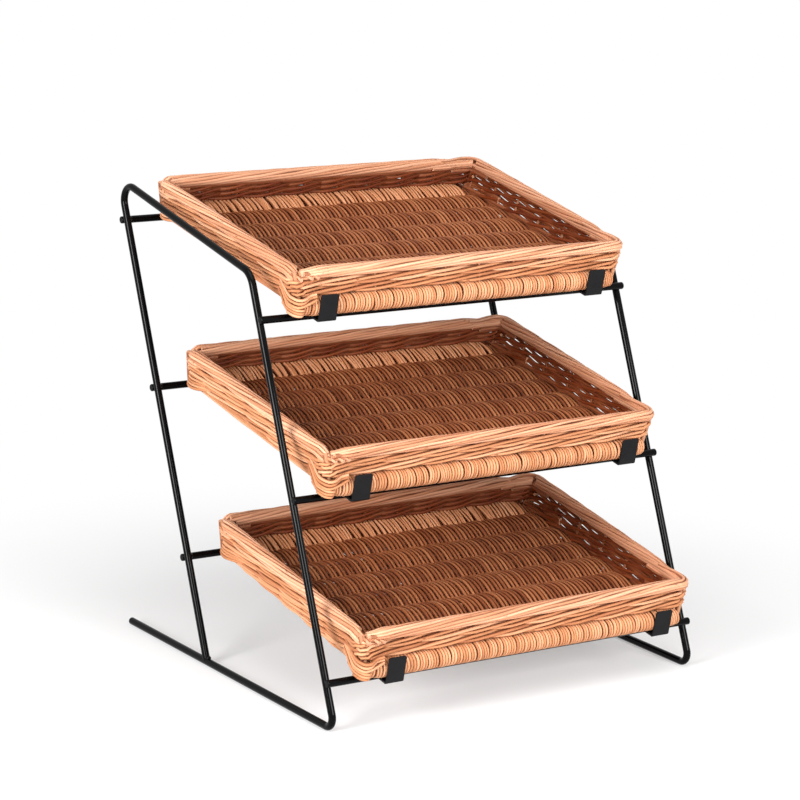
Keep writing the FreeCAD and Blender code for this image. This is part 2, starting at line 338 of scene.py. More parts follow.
def stretched_noise(tree, vector, stretch, detail=3.0):
    """Noise over a vector that is first scaled by its own factor in each direction."""
    scale = tree.nodes.new("ShaderNodeVectorMath")
    scale.operation = "MULTIPLY"
    scale.inputs[1].default_value = stretch
    noise = tree.nodes.new("ShaderNodeTexNoise")
    noise.inputs["Scale"].default_value = 1.0
    noise.inputs["Detail"].default_value = detail
    tree.links.new(vector, scale.inputs[0])
    tree.links.new(scale.outputs[0], noise.inputs["Vector"])
    return noise.outputs["Fac"]


def ramp(tree, value, stops):
    """Colour ramp through (place, colour) stops; a single number stands for a grey."""
    node = tree.nodes.new("ShaderNodeValToRGB")
    elements = node.color_ramp.elements
    while len(elements) < len(stops):
        elements.new(0.5)
    for element, (place, colour) in zip(elements, stops):
        element.position = place
        element.color = (*(colour if isinstance(colour, tuple) else (colour,) * 3), 1.0)
    tree.links.new(value, node.inputs[0])
    return node.outputs[0]


def combine(tree, kind, a, b, share):
    """Two colours mixed in one of the blend modes; each is a socket or a colour."""
    node = tree.nodes.new("ShaderNodeMix")
    node.data_type = "RGBA"
    node.blend_type = kind
    for number, value in ((0, share), (6, a), (7, b)):
        set_or_link(tree, node.inputs[number], value)
    return node.outputs[2]


def math_node(tree, kind, a, b):
    node = tree.nodes.new("ShaderNodeMath")
    node.operation = kind
    for number, value in enumerate((a, b)):
        set_or_link(tree, node.inputs[number], value)
    return node.outputs[0]


def add_bump(tree, shader, height, strength, distance):
    bump = tree.nodes.new("ShaderNodeBump")
    bump.inputs["Strength"].default_value = strength
    bump.inputs["Distance"].default_value = distance
    tree.links.new(height, bump.inputs["Height"])
    tree.links.new(bump.outputs[0], shader.inputs["Normal"])


def attribute(tree, name, output):
    node = tree.nodes.new("ShaderNodeAttribute")
    node.attribute_name = name
    return node.outputs[output]


print("materials so far", len(bpy.data.materials))

# %% Willow
shade_brown = (0.21, 0.078, 0.028)  # what full painted shade multiplies the colour by
pith_dark, pith_light = (0.42, 0.2, 0.11), (0.62, 0.34, 0.21)  # cut ends
willow_sheen = 0.14


def willow(name, shades, gloss):
    """Willow in five shades from the darkest rod to the lightest; gloss is its least roughness."""
    material, tree, shader = new_material(name)
    grain = attribute(tree, "grain", "Vector")
    drift = stretched_noise(tree, grain, (0.018, 0.22, 0.22))
    streak = stretched_noise(tree, grain, (0.02, 0.7, 0.7))
    fibre = stretched_noise(tree, grain, (0.25, 6.0, 6.0), 2.0)
    bud = stretched_noise(tree, grain, (0.11, 0.5, 0.5), 1.0)
    wander = math_node(tree, "MULTIPLY", math_node(tree, "SUBTRACT", drift, 0.5), 0.9)
    tone = math_node(tree, "ADD", attribute(tree, "tint", "Fac"), wander)
    colour = ramp(tree, tone, list(zip((0.0, 0.25, 0.5, 0.75, 1.0), shades)))
    streaks = ramp(tree, streak, [(0.3, (0.80, 0.74, 0.70)), (0.62, (1.05, 1.04, 1.03))])
    colour = combine(tree, "MULTIPLY", colour, streaks, 0.6)
    specks = ramp(tree, bud, [(0.70, (1.0, 1.0, 1.0)), (0.78, (0.42, 0.3, 0.25))])
    colour = combine(tree, "MULTIPLY", colour, specks, 0.8)
    # Painted shade: the shade mark pulls the colour towards dark brown
    colour = combine(tree, "MULTIPLY", colour, shade_brown, attribute(tree, "stain", "Fac"))
    pith = ramp(tree, fibre, [(0.35, pith_dark), (0.6, pith_light)])
    colour = combine(tree, "MIX", colour, pith, attribute(tree, "cut", "Fac"))
    tree.links.new(colour, shader.inputs["Base Color"])
    rough = ramp(tree, streak, [(0.25, gloss + 0.15), (0.7, gloss)])
    tree.links.new(rough, shader.inputs["Roughness"])
    shader.inputs["Specular IOR Level"].default_value = willow_sheen
    height = math_node(tree, "ADD", fibre, math_node(tree, "MULTIPLY", streak, 1.5))
    add_bump(tree, shader, height, 0.3, 0.2 * mm)
    return material


body_willow = willow("buff_willow", (
    (0.42, 0.155, 0.068), (0.54, 0.225, 0.102), (0.64, 0.29, 0.14),
    (0.71, 0.35, 0.185), (0.77, 0.41, 0.235)), 0.42)
# Painted light: a lighter copy of the same willow for the top border, where the light falls more.
lit_rim_willow = willow("lit_rim_willow", (
    (0.52, 0.215, 0.112), (0.64, 0.295, 0.16), (0.73, 0.36, 0.205),
    (0.79, 0.42, 0.255), (0.83, 0.47, 0.295)), 0.4)
# Painted shade: a darker, redder copy of the same willow for the floor, which lies in the basket's
# shade.
shaded_floor_willow = willow("shaded_floor_willow", (
    (0.22, 0.066, 0.024), (0.33, 0.108, 0.041), (0.44, 0.16, 0.064),
    (0.54, 0.22, 0.093), (0.63, 0.29, 0.132)), 0.45)
stick_willow = willow("stick_willow", (
    (0.24, 0.085, 0.035), (0.34, 0.135, 0.06), (0.44, 0.19, 0.09),
    (0.53, 0.26, 0.13), (0.62, 0.33, 0.17)), 0.5)
print("willow finishes", [m.name for m in (body_willow, lit_rim_willow, shaded_floor_willow, stick_willow)])

# %% [markdown]
# ## Powder coat
# The rods are powder coated satin black: a baked paint film with a very slight orange peel
# that breaks up the long highlights. The clips have the same black in a duller finish.
# %% Steel finishes
coat_sheen = 0.08


def powder_coat(name, colour, rough, peel):
    """Black paint film; rough is its least roughness, peel the strength of its orange peel."""
    material, tree, shader = new_material(name)
    place = tree.nodes.new("ShaderNodeNewGeometry").outputs["Position"]
    cloud = stretched_noise(tree, place, (60.0, 60.0, 60.0))
    grit = stretched_noise(tree, place, (2500.0, 2500.0, 2500.0), 2.0)
    deeper = tuple(c * 0.75 for c in colour)
    tree.links.new(ramp(tree, cloud, [(0.3, deeper), (0.7, colour)]), shader.inputs["Base Color"])
    gloss = ramp(tree, cloud, [(0.3, rough), (0.7, rough + 0.06)])
    tree.links.new(gloss, shader.inputs["Roughness"])
    shader.inputs["Specular IOR Level"].default_value = coat_sheen
    add_bump(tree, shader, grit, peel, 0.1 * mm)
    return material


rod_coat = powder_coat("satin_black_coat", (0.0018, 0.0018, 0.0021), rough=0.04, peel=0.06)
clip_coat = powder_coat("dull_black_coat", (0.011, 0.011, 0.012), rough=0.45, peel=0.3)
steel = {name: node for name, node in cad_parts.items() if not name.startswith("basket_")}
for name, node in steel.items():
    is_clip = name.startswith("clip_") and name != "clip_welds"
    for slot in node.material_slots:
        slot.material = clip_coat if is_clip else rod_coat
print("painted", len(steel), "steel nodes")

# %% [markdown]
# ## The base: sticks and the rods woven through them
# Ten sticks lie across the basket. Thin rods run from the front to the rear, over one stick
# and under the next, and each neighbour goes the other way. Packed tight, they hide the
# sticks except for their cut ends, which stick out below the side walls.
# %% Sticks
mid_h = 10.5  # height of the sticks' middle lines
front_pair = (10.5, 22.2)
rear_pair = (315.7, 304.0)
mid_sticks = 6
stick_pitch = (rear_pair[1] - front_pair[1]) / (mid_sticks + 1)
mid_places = [front_pair[1] + stick_pitch * (k + 1) for k in range(mid_sticks)]
edge_stick_half, edge_stick_r = 186, 5.3
mid_stick_half, mid_stick_r = 195, 4.1
shaving_start, shaving_run = 183, 12  # the middle sticks are shaved thinner beyond this


def base_sticks():
    sticks = Bundle()
    for s in front_pair + rear_pair:
        x = np.linspace(-edge_stick_half, edge_stick_half, 40)
        line = np.stack([x, s + sway(x, 0.2, 300), mid_h + 0 * x], 1)
        sticks.lay(line, edge_stick_r, (0, 1, 0), rng.uniform(0.2, 0.9))
    for s in mid_places:
        left = -mid_stick_half - rng.uniform(0, 2.5)
        right = mid_stick_half + rng.uniform(0, 2.5)
        x = np.linspace(left, right, 60)
        line = np.stack([x, s + sway(x, 0.7, 260), mid_h + sway(x, 0.35, 300)], 1)
        shaved = 1 - 0.3 * np.clip((np.abs(x) - shaving_start) / shaving_run, 0, 1)
        radius = (mid_stick_r + sway(x, 0.2, 200)) * shaved
        sticks.lay(line, radius, (0, 1, 0), rng.uniform(0.2, 0.9))
    return sticks


print("middle sticks every", round(stick_pitch, 1), "mm")

# %% Floor weave
floor_pitch = 2.7
floor_half = 197.1
floor_places = np.arange(-floor_half, floor_half + 0.1, floor_pitch)
floor_line = np.linspace(26.5, 299.7, 56)  # between the two rolls
floor_edge, floor_edge_run = 186, 10  # the weave lies flatter beyond this
# painted shade laid all over the floor rods, which lie inside the basket
floor_shade = 0.42


def floor_weave():
    """Rods from front to rear, alternately over and under the sticks, in close pairs."""
    floor = Bundle()
    s = floor_line
    wave = np.cos(math.pi * (s - front_pair[1]) / stick_pitch)
    for number, x in enumerate(floor_places):
        radius = rng.uniform(1.5, 1.85)
        flatter = 1 - 0.4 * np.clip((abs(x) - floor_edge) / floor_edge_run, 0, 1)
        lift = (4.0 + radius * 0.9) * (1 if number % 2 else -1) * flatter
        lean = rng.uniform(-0.45, 0.45)
        pairing = 0.25 if number % 4 < 2 else -0.25
        line_x = x + pairing + lean * (s / 160 - 1) + sway(s, 0.4, 190)
        line = np.stack([line_x, s, mid_h + lift * wave + sway(s, 0.25, 110)], 1)
        floor.lay(line, radius * (1 + sway(s, 0.06, 150)), side=(1, 0, 0),
                  tint=rng.uniform(0.2, 0.8), stain=(floor_shade, 0))
    return floor


print("floor rods", len(floor_places))

# %% [markdown]
# ## The rolls
# At the front and the rear edge the rods wrap round a pair of sticks. That gives the basket
# its two fat rolls, with strands that stand upright side by side in small groups.
# %% Places of the wraps
roll_r = 10.5
front_roll = (-202.0, 198.0)
rear_roll = (-187.0, 187.0)
roll_end_run = 14  # each end of a roll gets slimmer over this


def wrap_places(begin, end, slack):
    """Place, radius and lean of the wraps along a roll: groups of two to five, a groove between."""
    places, x = [], begin
    while x < end:
        lean = rng.uniform(-1.0, 1.0)
        usual = rng.uniform(1.35, 1.95)
        for _ in range(rng.integers(2, 6)):
            radius = usual * rng.uniform(0.92, 1.1)
            x += radius
            places.append((x, radius, lean + rng.uniform(-0.25, 0.25) * (1 + 2 * slack)))
            x += radius * 0.96 + rng.uniform(0.1, 1.3) * slack
        x += rng.choice([0.4, 0.7, 1.2])
    return [place for place in places if place[0] < end]


def slimmer(x, begin, end):
    """Share of its size that a roll keeps at a place; it is slimmer at its two ends."""
    return 1 - 0.22 * np.clip((max(begin - x, x - end) + roll_end_run) / roll_end_run, 0, 1)


print("length of the front roll, mm", front_roll[1] - front_roll[0])


# %% Lines round a roll
def bend(anchors, step=2.2):
    """Smooth line through a few points."""
    p = np.asarray(anchors, float)
    p = np.concatenate([2 * p[:1] - p[1:2], p, 2 * p[-1:] - p[-2:-1]])
    line = []
    for a, b, c, d in zip(p, p[1:], p[2:], p[3:]):
        t = np.linspace(0, 1, max(2, int(np.linalg.norm(c - b) / step)), endpoint=False)[:, None]
        square, cube = 2 * a - 5 * b + 4 * c - d, 3 * b - a - 3 * c + d
        line.append(b + 0.5 * t * (c - a + t * (square + t * cube)))
    return np.concatenate(line + [p[-2:-1]])


def roll_line(pair, reach):
    """Closed line round a pair of sticks, as (s, h), starting on the side of the floor."""
    near, far = min(pair), max(pair)
    a = np.linspace(0, math.pi, 10)
    toward_far = np.stack([far + reach * np.sin(a), mid_h + reach * np.cos(a)], 1)
    toward_near = np.stack([near - reach * np.sin(a), mid_h - reach * np.cos(a)], 1)
    middle = (near + far) / 2
    under, over = [[middle, mid_h - reach]], [[middle, mid_h + reach]]
    return np.concatenate([toward_far, under, toward_near, over, toward_far[:1]])


def slope_line(pair, reach):
    """Open line over a pair of sticks, as (s, h): up from the floor, round the back, in below."""
    near, far = min(pair), max(pair)
    a = np.linspace(0, math.pi, 7)
    back = np.stack([far + reach * np.sin(a), mid_h + reach * np.cos(a)], 1)
    rise = [[near - 38, 8.5], [near - 28, 12.2], [near - 14, 17.0], [near, mid_h + reach]]
    return_below = [[near, mid_h - reach], [near - 14, 3.5], [near - 26, 7.0]]
    return bend(np.concatenate([rise, back, return_below]), 3.5)


print("round the front pair, mm", round(float(step_lengths(roll_line(front_pair, roll_r)).sum())))


# %% Rolls
def rolls():
    both = Bundle()
    for x, radius, lean in wrap_places(*front_roll, 0):
        reach = (roll_r - radius) * slimmer(x, *front_roll) - rng.uniform(0, 0.3)
        line = roll_line(front_pair, reach)
        tilted_x = x + lean * (line[:, 1] - mid_h) / roll_r
        # Painted shade on the side of each front wrap that faces the inside.
        both.lay(np.stack([tilted_x, line[:, 0], line[:, 1]], 1), radius,
                 side=(1, 0, 0), tint=rng.uniform(0.25, 0.85), stain=(0.0, 0.55))
    for x, radius, lean in wrap_places(*rear_roll, 1):
        reach = (roll_r - radius) * slimmer(x, *rear_roll) - rng.uniform(0, 0.3)
        line = slope_line(rear_pair, reach)
        splay = rng.uniform(-3.2, 3.2) * np.clip((rear_pair[1] - line[:, 0]) / 30, 0, 1)
        tilted_x = x + lean * ((line[:, 1] - mid_h) / roll_r) + splay
        # Painted shade on the rear wraps: a little all over, more on the side facing the inside.
        both.lay(np.stack([tilted_x, line[:, 0], line[:, 1]], 1), radius,
                 side=(1, 0, 0), tint=rng.uniform(0.3, 0.75), stain=(0.15, 0.45))
    return both


print("length of the rear roll, mm", rear_roll[1] - rear_roll[0])

# %% [markdown]
# ## The walls
# The walls are waled: three rods work together round the upright stakes. Each passes in front
# of two stakes and behind the third, so the outside shows long overlapping strokes like a
# slack rope. Two rounds go all the way round. The rear wall has a part round between them, and
# the side walls, which reach lower, have one below, or two on the lowest basket. The wall leans
# out a little and turns the corners in an arc.
# %% A ring with round corners
def ring_joints(half, front, rear, turn):
    """Distances round a rectangle with round corners at which straights and arcs meet."""
    runs = (2 * (half - turn), quarter * turn, rear - front - 2 * turn, quarter * turn) * 2
    return np.concatenate([[0], np.cumsum(runs)])


def on_ring(distance, joints, size, turn, out):
    """Points (x, s) at distances round a ring from its front left, moved outwards."""
    d = np.mod(distance, joints[-1])
    across = np.interp(d, joints, (-1, 1, 1, 1, 1, -1, -1, -1, -1))
    along = np.interp(d, joints, (-1, -1, -1, 1, 1, 1, 1, -1, -1))
    facing = quarter * np.interp(d, joints, (-1, -1, 0, 0, 1, 1, 2, 2, 3))
    half, front, rear = size
    x = across * (half - turn) + (turn + out) * np.cos(facing)
    s = (front + rear) / 2 + along * ((rear - front) / 2 - turn) + (turn + out) * np.sin(facing)
    return x, s


print("a ring that is all corners, 10 mm across, is", round(float(ring_joints(5, 0, 10, 5)[-1]), 1),
      "mm round")

# %% Wall surface
wall_turn = 3.5
wall_foot, wall_rise = 8.5, 31.5  # height where the wall starts, and how far it goes up
middle_height = 28.0  # distances round the wall are measured here


def wall_size(h):
    """Half width and the two ends of the middle of the wall at a height."""
    share = (h - wall_foot) / wall_rise
    return 201 + 8 * share, 11.7 + 4 * share, 304.2 - 3.5 * share


joints = ring_joints(*wall_size(middle_height), wall_turn)
wall_round = joints[-1]
corner_mids = [(joints[k] + joints[k + 1]) / 2 for k in (1, 3, 5, 7)]
right_wall, rear_wall, left_wall = joints[2:4], joints[4:6], joints[6:8]


def on_wall(distance, h, out):
    x, s = on_ring(distance, joints, wall_size(h), wall_turn, out)
    return np.stack([x, s, np.broadcast_to(h, x.shape)], 1)


print("wall, once round, mm", round(float(wall_round), 1))

# %% Stakes
stakes_on_side = (10, 7, 10, 7)  # front, right, rear, left
stake_inset = 4  # from a corner's arc to the first stake
stake_places = []
for side, count in enumerate(stakes_on_side):
    start, stop = joints[2 * side], joints[2 * side + 1]
    stake_places += list(np.linspace(start + stake_inset, stop - stake_inset, count))
    stake_places.append(corner_mids[side])
stake_places = np.array(stake_places)
post_r, stake_r = 2.9, 1.6
stake_top = 47.0
post_foot, end_wall_foot, side_wall_foot = 10.0, 18.0, 15.0


def side_stakes():
    stakes, posts = Bundle(), Bundle()
    for place in stake_places:
        on_side = right_wall[0] < place < right_wall[1] or left_wall[0] < place < left_wall[1]
        # Stakes and posts carry painted shade: a little all over, most on the side facing the
        # inside.
        if place in corner_mids:
            h = np.linspace(post_foot, stake_top, 9)
            posts.lay(on_wall(place, h, 0.5 + 0 * h), post_r, (1, 0.3, 0), 0.8, (0.3, 0.8))
        else:
            h = np.linspace(side_wall_foot if on_side else end_wall_foot, stake_top, 9)
            leaning = place + rng.uniform(-2, 2) * (h - 30) / 15
            stakes.lay(on_wall(leaning, h, 0.0), stake_r, (1, 0.3, 0), stain=(0.2, 0.7))
    return stakes, posts


print("stakes and corner posts", len(stake_places))


# %% Path of a waling rod
def stake_count(distance):
    """How many stakes have been passed at a distance round the wall, with fractions."""
    laps = np.floor(distance / wall_round)
    before, after = stake_places[-1:] - wall_round, stake_places[:1] + wall_round
    places = np.concatenate([before, stake_places, after])
    passed = np.interp(distance - laps * wall_round, places, np.arange(-1, len(stake_places) + 1))
    return passed + laps * len(stake_places)


def stroke(count):
    """In and out, and up and down, of a waling rod: in front of two stakes, behind one."""
    p = np.mod(count, 3)
    out = -np.cos(math.pi * np.clip(np.minimum(p, 3 - p), 0, 1))
    climb = -np.cos(math.pi * (np.clip(p, 0.5, 2.5) - 0.5) / 2)
    drop = np.cos(math.pi * (np.where(p < 1, p + 3, p) - 2.5))
    return out, np.where((p > 0.5) & (p < 2.5), climb, drop)


def level(front, side, rear):
    """Height of a round on each kind of wall, sloping from one to the next at the corners."""
    laps = [joints + lap * wall_round for lap in (-1, 0, 1)]
    heights = [front, front, side, side, rear, rear, side, side, front] * 3
    return lambda d: np.interp(d, np.concatenate(laps), heights)


corner_push = (0.3, -1.5, -1.5, 2.5)  # front right, rear right, rear left, front left
corner_reach = 26.0


def at_corner(distance):
    """How far the weave stands out in a corner: out at the front left, in a little at the rear."""
    push = 0.0
    for corner, most in zip(corner_mids, corner_push):
        gap = np.abs(np.mod(distance - corner + wall_round / 2, wall_round) - wall_round / 2)
        push = push + most * (0.5 + 0.5 * np.cos(math.pi * np.clip(gap / corner_reach, 0, 1)))
    return push


print("stakes behind, of three passed", int((stroke(np.arange(3))[0] < 0).sum()))

# %% Waling
wale_r = 1.92
wale_depth, wale_climb = 2.5, 3.1  # how far a rod swings in and out, and up and down
tuck_run, tuck_depth = 16, 3.0  # an end slips in behind the wall over this run


def wale(wall, height, begin, end, shift):
    """Three rods worked round part of the wall, out a little at the corners, ends tucked in."""
    for rod in range(3):
        d = np.arange(begin + rng.uniform(0, 6), end - rng.uniform(0, 6), 3.0)
        out, up = stroke(stake_count(d) + rod + shift)
        radius = wale_r * rng.uniform(0.92, 1.06) * (1 + sway(d, 0.07, 400))
        tucked = np.clip(1 - np.minimum(d - begin, end - d) / tuck_run, 0, 1)
        away = wale_depth * out + sway(d, 0.2, 90) + at_corner(d) - tuck_depth * tucked
        path = on_wall(d, height(d) + wale_climb * up + sway(d, 0.25, 120), away)
        # Painted shade where a rod dips behind the stakes, and on its inner side.
        wall.lay(path, radius, stain=(0.9 * np.clip(-out, 0, 1), 0.95))


print("waling rods, mm thick", 2 * wale_r)

# %% [markdown]
# ## Behind the waling
# Real willow is packed so tight that little light comes through a wall. Rods drawn with clean
# gaps let too much through, so rods darkened with painted shade are laid behind the strokes
# where that shows: along the rear wall, along the side walls and along the side edges of the floor.
# %% Siding
rear_fillers = ((-1.8, 39.6), (1.8, 40.2), (1.2, 27.6), (0.6, 33.4), (1.0, 37.2))  # out, height
side_fillers = ((39.6, 293, 1.9), (31.0, 170, 1.9), (35.4, 150, 1.3), (26.8, 190, 1.3),
                (35.4, 293, 0.7))  # height, reach from the front, radius
edge_rods = ((201.2, 9.8), (203.0, 13.1), (202.4, 16.5))  # x, height
edge_begin, edge_end, edge_run = 24, 301, 20
rear_filler_r, edge_rod_r = 2.1, 2.25


def fillers(wall):
    # All these rods carry painted shade: some all over, most on the side facing the inside.
    rear = np.arange(rear_wall[0] - 10, rear_wall[1] + 10, 4.0)
    for out, h in rear_fillers:
        wall.lay(on_wall(rear, h + sway(rear, 0.4, 130), out), rear_filler_r, stain=(0.3, 0.9))
    for h, reach, radius in side_fillers:
        for run in (np.arange(right_wall[0], right_wall[0] + reach, 4.0),
                    np.arange(left_wall[1] - reach, left_wall[1], 4.0)):
            wall.lay(on_wall(run, h + sway(run, 0.4, 130), -0.4), radius, stain=(0.4, 0.9))
    s = np.arange(24.0, 302.0, 5.0)
    to_end = np.minimum(s - edge_begin, edge_end - s)
    for side in (-1, 1):
        for x, h in edge_rods:
            x = x - 3 * np.clip((edge_run - to_end) / edge_run, 0, 1)
            line = np.stack([side * (x + sway(s, 0.2, 120)), s, h + sway(s, 0.3, 150)], 1)
            wall.lay(line, edge_rod_r, stain=(0.1, 0.9))


def siding(tier):
    wall = Bundle()
    seam = rear_wall[1] - 20.0
    wale(wall, level(34.6, 35.2, 36.2), seam, seam + wall_round, 0)
    wale(wall, level(25.9, 26.6, 24.6), seam, seam + wall_round, 1)
    wale(wall, level(0, 31.0, 30.4), rear_wall[0] - 20, rear_wall[1] + 20, 2)
    for begin, end in (right_wall, left_wall):
        wale(wall, level(0, 19.0, 0), begin + 26, end - 26, 2)
        if tier == 0:
            wale(wall, level(0, 12.6, 0), begin + 34, end - 34, 1)
    fillers(wall)
    return wall


print("rods behind the waling", len(rear_fillers) + 2 * len(side_fillers) + 2 * len(edge_rods))

# %% [markdown]
# ## The corners
# Below the siding more rods turn each corner, one above the other. At the front left three
# cover the end of the roll and three climb over its face and stop beside the clip; at the
# front right they start behind the roll. Along the side they rise and slip in behind the waling.
# %% Front left corner
def off_roll(h):
    """How far a rod that lies on a roll is from the roll's middle line, at a height."""
    return math.sqrt(max(12.3 ** 2 - (h - mid_h) ** 2, 36.0))


def over_roll(low, end_x, end_h, rise, delay):
    """Over the face of the roll, round its end, and up along the side."""
    face_h, turn_h = low + 0.68 * (end_h - low), low + 0.22 * (end_h - low)
    climb = ((211.4, 25, 0.32), (209.8, 33, 0.7), (207.6, 43, 1.0), (204.6, 55, 1.08),
             (202.3, 66, 1.1))
    start = [(end_x, front_pair[0] - off_roll(end_h), end_h),
             (195, front_pair[0] - off_roll(face_h), face_h),
             (204, 0.2, turn_h), (209.5, 2.0, low), (211.8, 8, low),
             (212.2, 17 + delay, low + 0.03 * rise)]
    return start + [(x, s + delay, low + share * rise) for x, s, share in climb]


def round_end(low, rise, delay):
    """Only round the end of the roll; both ends of the rod are tucked in."""
    near = front_pair[0] - off_roll(low)
    return [(201.5, near + 4.5, low), (204.5, near + 2.2, low), (208.4, near + 3.6, low),
            (210.8, near + 8, low), (211.2, 19, low), (210.2, 26 + delay, low + 0.3 * rise),
            (208.2, 35 + delay, low + 0.8 * rise), (204.8, 45 + delay, low + rise),
            (202, 54 + delay, low + rise)]


print("a rod on the roll at half height is", off_roll(mid_h), "mm from its middle")


# %% Other corners
def front_right(k, low):
    return [(196, 15, low), (202.5, 21, low + 0.3), (205.4, 30, low + 1.4),
            (206.2, 43, low + 8.4 - 1.3 * k), (204.2, 59, low + 11.5 - 2.1 * k),
            (202.3, 73, low + 13 - 2.4 * k)]


def rear_corner(k, low, end_h):
    return [(184 + rng.uniform(0, 3), rear_pair[0] + off_roll(end_h), end_h),
            (188.5, 319, low + 0.7 * (end_h - low)), (196.2, 311.5, low + 0.3 * (end_h - low)),
            (202.4, 303, low), (205.6, 291, low + 0.8), (206.4, 277, low + 4.4 - 0.5 * k),
            (205.8, 262, low + 9 - 1.4 * k), (204, 247, low + 11.5 - 2.1 * k),
            (202.3, 234, low + 13 - 2.4 * k)]


corner_rod_r = 1.75
rods_in_corner = 5


def corner_wraps(wall):
    left, right = -1, 1
    lines = [(left, round_end(*rod)) for rod in ((4.0, 0.0, -12), (7.4, 9.4, 2), (10.8, 8.4, -1))]
    for low, end_h, rise, delay in ((13.8, 20.2, 10.4, 0), (17.7, 23.0, 9.0, -1),
                                    (21.6, 25.8, 7.2, -2)):
        lines.append((left, over_roll(low, 185.3 + rng.uniform(0, 3.2), end_h, rise, delay)))
    for k in range(rods_in_corner):
        low = 6.2 + 3.7 * k + rng.uniform(-0.3, 0.3)
        lines.append((right, front_right(k, low)))
        for side in (left, right):
            lines.append((side, rear_corner(k, low, 17.2 + 2.4 * k)))
    for side, anchors in lines:
        line = bend([(side * x, s, h) for x, s, h in anchors])
        line[:, 2] += sway(np.arange(len(line)) * 2.2, 0.3, 60)
        # Painted shade on the side of the corner rods that faces the inside.
        wall.lay(line, corner_rod_r * rng.uniform(0.93, 1.06), stain=(0.0, 0.9))


print("rods round each of the other corners", rods_in_corner)

# %% [markdown]
# ## The border
# Along the top the stakes are bent down and laid round each other like a rope with a very
# long twist: outside, the strands climb slowly from under the rim to its top, then they dip
# inside. Each side has its own bundle. Where the strands arrive at a rear or left corner they
# drop and turn below the bundle that starts there.
# %% Rim line
rim_turn = 8.5
rim_size = (208.5, 15.2, 301.2)
rim_h = 46.0
rim_joints = ring_joints(*rim_size, rim_turn)


def on_rim(distance, out, up):
    x, s = on_ring(distance, rim_joints, rim_size, rim_turn, out)
    return np.stack([x, s, rim_h + up], 1)


def ease(t):
    """From nought to one with a soft start and end."""
    t = np.clip(t, 0, 1)
    return t * t * (3 - 2 * t)


print("rim, once round, mm", round(float(rim_joints[-1]), 1))

# %% Strands
strands = 10
twist = 400.0  # length of one full turn of the rope
rim_half_width, rim_half_height = 7.5, 6.0
early_start = (0, 5, 5, 8)  # front, right, rear, left: how far before its side a bundle begins
late_entry = (0, 0, 0, 10)
entry_run = (20, 50, 50, 20)  # over this the strands of a side come up into the rim


def strand(side, number, first):
    """Lays out one strand of a side: line, radius, direction to its neighbour."""
    begin, end, turn_end = rim_joints[2 * side:2 * side + 3]
    drops = side in (2, 3)
    start_angle = first + number * 2 * math.pi / strands
    wraps = math.cos(start_angle + (end - begin) * 2 * math.pi / twist) > -0.35
    last = turn_end + rng.uniform(22, 55) if wraps else end + rng.uniform(-4, 3)
    d = np.arange(begin - rng.uniform(1, 4) - early_start[side], last, 4.0)
    turned = start_angle + 2 * math.pi * (np.minimum(d, end) - begin) / twist
    angle = turned + sway(d, 0.14, 170)
    radius = rng.uniform(1.65, 2.15) * (1 + sway(d, 0.08, 300))
    c, s = np.cos(angle), np.sin(angle)
    square = (np.abs(c) ** 3 + np.abs(s) ** 3) ** (-1 / 3)
    entry = 1 - ease((d - begin + late_entry[side]) / entry_run[side])
    drop = ease((d - end + 5) / 18) * drops
    tuck = ease((d - turn_end - 4) / 30)
    out = (rim_half_width - radius) * c * square * (1 - 0.5 * entry)
    out = out - 2.5 * entry - 6.0 * tuck * wraps - 3.0 * drop
    up = (rim_half_height - radius) * s * square * (1 - 0.4 * entry)
    up = up - 1.5 * entry - 8.5 * drop * wraps
    neighbour = on_rim(d, -s * square, c * square) - on_rim(d, 0 * d, 0 * d)
    return on_rim(d, out, up), radius, neighbour


print("one turn of the rim's rope, mm", twist)

# %% Border
stub_places = ((-3, 5.5, 12.5), (), (), (8,))  # cut ends that show, front, right, rear, left
stub_reach = (9.3, 6.4, 6.4, 6.4)
core_places = ((-1.8, -0.6), (1.8, -0.6))
lining_places = ((-3.5, -8.6), (-3.2, -5.0), (-2.6, -1.4))
core_r, stub_r, lining_r = 2.2, 1.9, 2.0
lining_reach = 26  # on either side of a corner


def border():
    """Strands of the four sides, a core inside them, cut stubs, and a lining in the corners."""
    rim = Bundle()
    for side in range(4):
        begin, end, turn_end = rim_joints[2 * side:2 * side + 3]
        first = rng.uniform(0, 2 * math.pi / strands)
        for number in range(strands):
            line, radius, neighbour = strand(side, number, first)
            # Painted shade on the side of the strands that faces the inside.
            rim.lay(line, radius, neighbour, rng.uniform(0.2, 1), (0.0, 0.5))
        core = np.arange(begin, end, 5.0)
        for out, up in core_places:
            # The core, inside the rope, has painted shade all over.
            rim.lay(on_rim(core, out + 0 * core, up + 0 * core), core_r, tint=0.3, stain=(0.5, 0))
        for step in stub_places[side]:
            place = begin + step + rng.uniform(-1, 1)
            out = np.linspace(-4, stub_reach[side] + rng.uniform(-0.8, 0.5), 4)
            up = -4.4 + rng.uniform(-0.7, 0.7) + 0.05 * out
            rim.lay(on_rim(place + 0.1 * out, out, up), stub_r, tint=0.7)
        lining = np.arange(end - lining_reach, turn_end + lining_reach, 3.0)
        for out, up in lining_places:
            # The lining has painted shade, a little all over and most on its inner side.
            line = on_rim(lining, out + 0 * lining, up + sway(lining, 0.3, 60))
            rim.lay(line, lining_r, tint=0.4, stain=(0.1, 0.8))
    return rim


print("strands in a side of the rim", strands)

